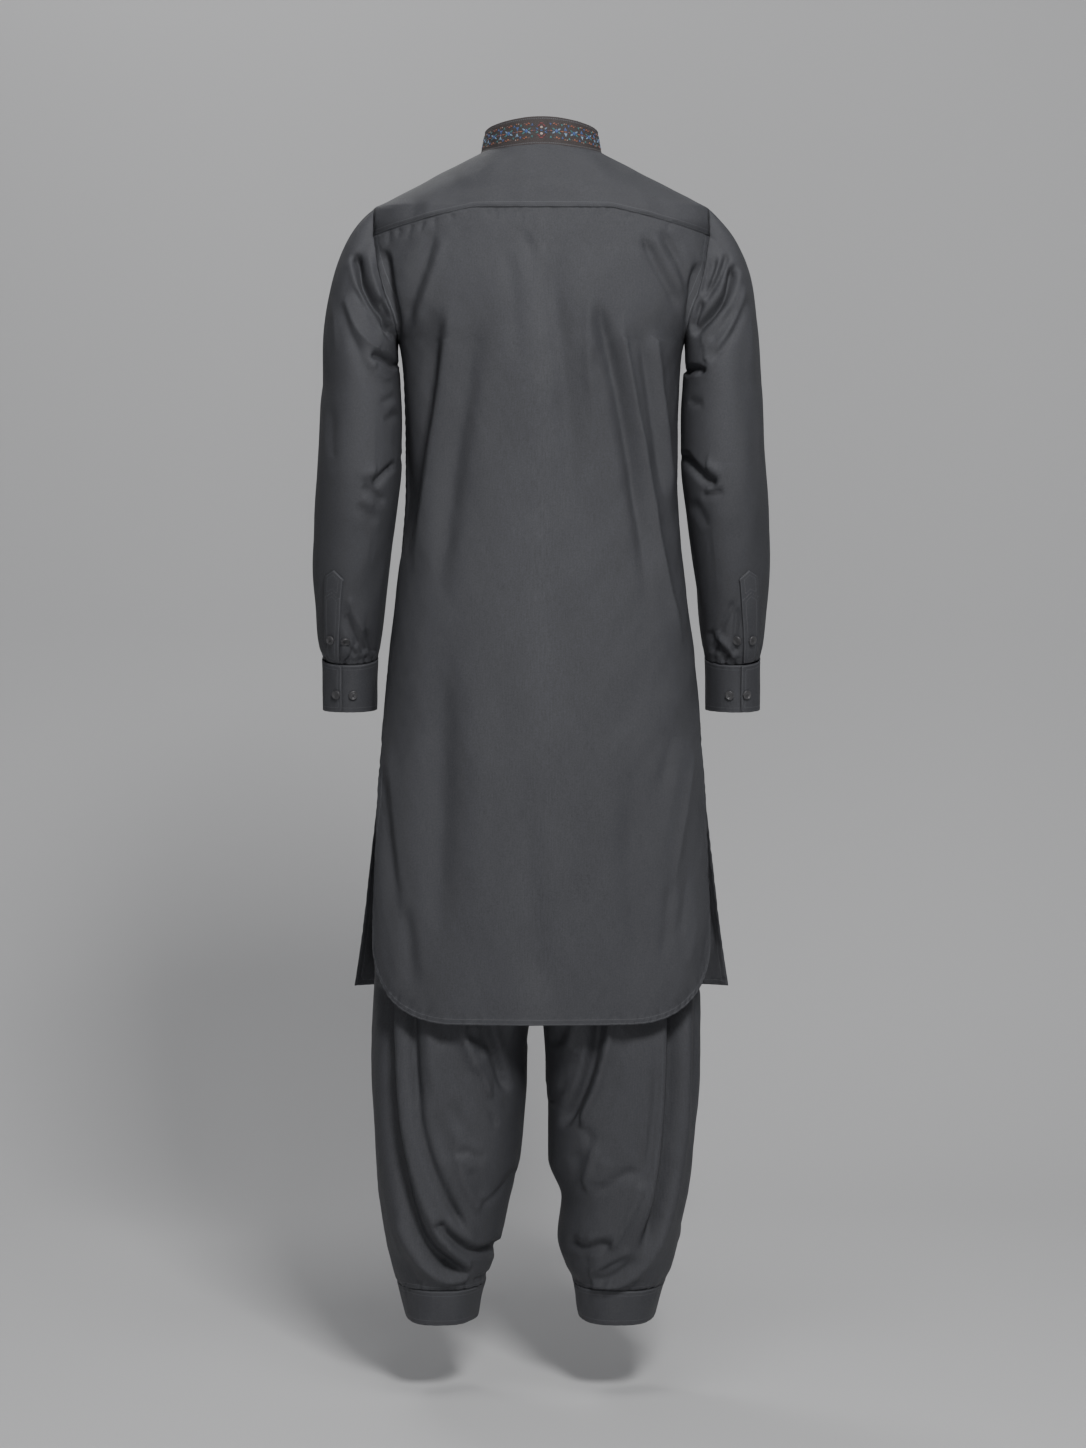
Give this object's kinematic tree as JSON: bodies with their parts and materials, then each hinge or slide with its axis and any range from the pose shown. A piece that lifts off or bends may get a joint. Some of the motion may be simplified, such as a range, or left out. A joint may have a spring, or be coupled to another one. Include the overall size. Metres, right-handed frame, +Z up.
{
  "type": "kurta shalwar",
  "caption": "Charcoal kurta with an embroidered band collar, curved back hem, yoke and placket cuffs, over loose shalwar trousers, in worn form.",
  "frame": {"origin": "middle of the neck base, where the wearer's shoulders hold the kurta", "axes": "+Z up, -Y to the wearer's front, +X to the wearer's left"},
  "size_m": [0.5784, 0.2613, 1.514],
  "materials": {
    "charcoal_cloth": "plain weave, matt",
    "embroidered_cloth": "coloured thread on dark ground",
    "button": "satin"
  },
  "bodies": {
    "root": {"kurta_back": "charcoal_cloth", "kurta_yoke": "charcoal_cloth", "kurta_front": "charcoal_cloth", "front_placket": "charcoal_cloth", "sleeve_left": "charcoal_cloth", "sleeve_right": "charcoal_cloth", "cuff_left": "charcoal_cloth", "cuff_right": "charcoal_cloth", "sleeve_placket_left": "charcoal_cloth", "sleeve_placket_right": "charcoal_cloth", "shalwar_waistband": "charcoal_cloth", "shalwar_leg_left": "charcoal_cloth", "shalwar_leg_right": "charcoal_cloth", "hem_band_left": "charcoal_cloth", "hem_band_right": "charcoal_cloth", "collar_band": "embroidered_cloth", "front_button_1": "button", "front_button_2": "button", "front_button_3": "button", "front_button_4": "button", "cuff_button_upper_left": "button", "cuff_button_under_left": "button", "placket_button_upper_left": "button", "placket_button_under_left": "button", "cuff_button_upper_right": "button", "cuff_button_under_right": "button", "placket_button_upper_right": "button", "placket_button_under_right": "button"}
  },
  "joints": []
}
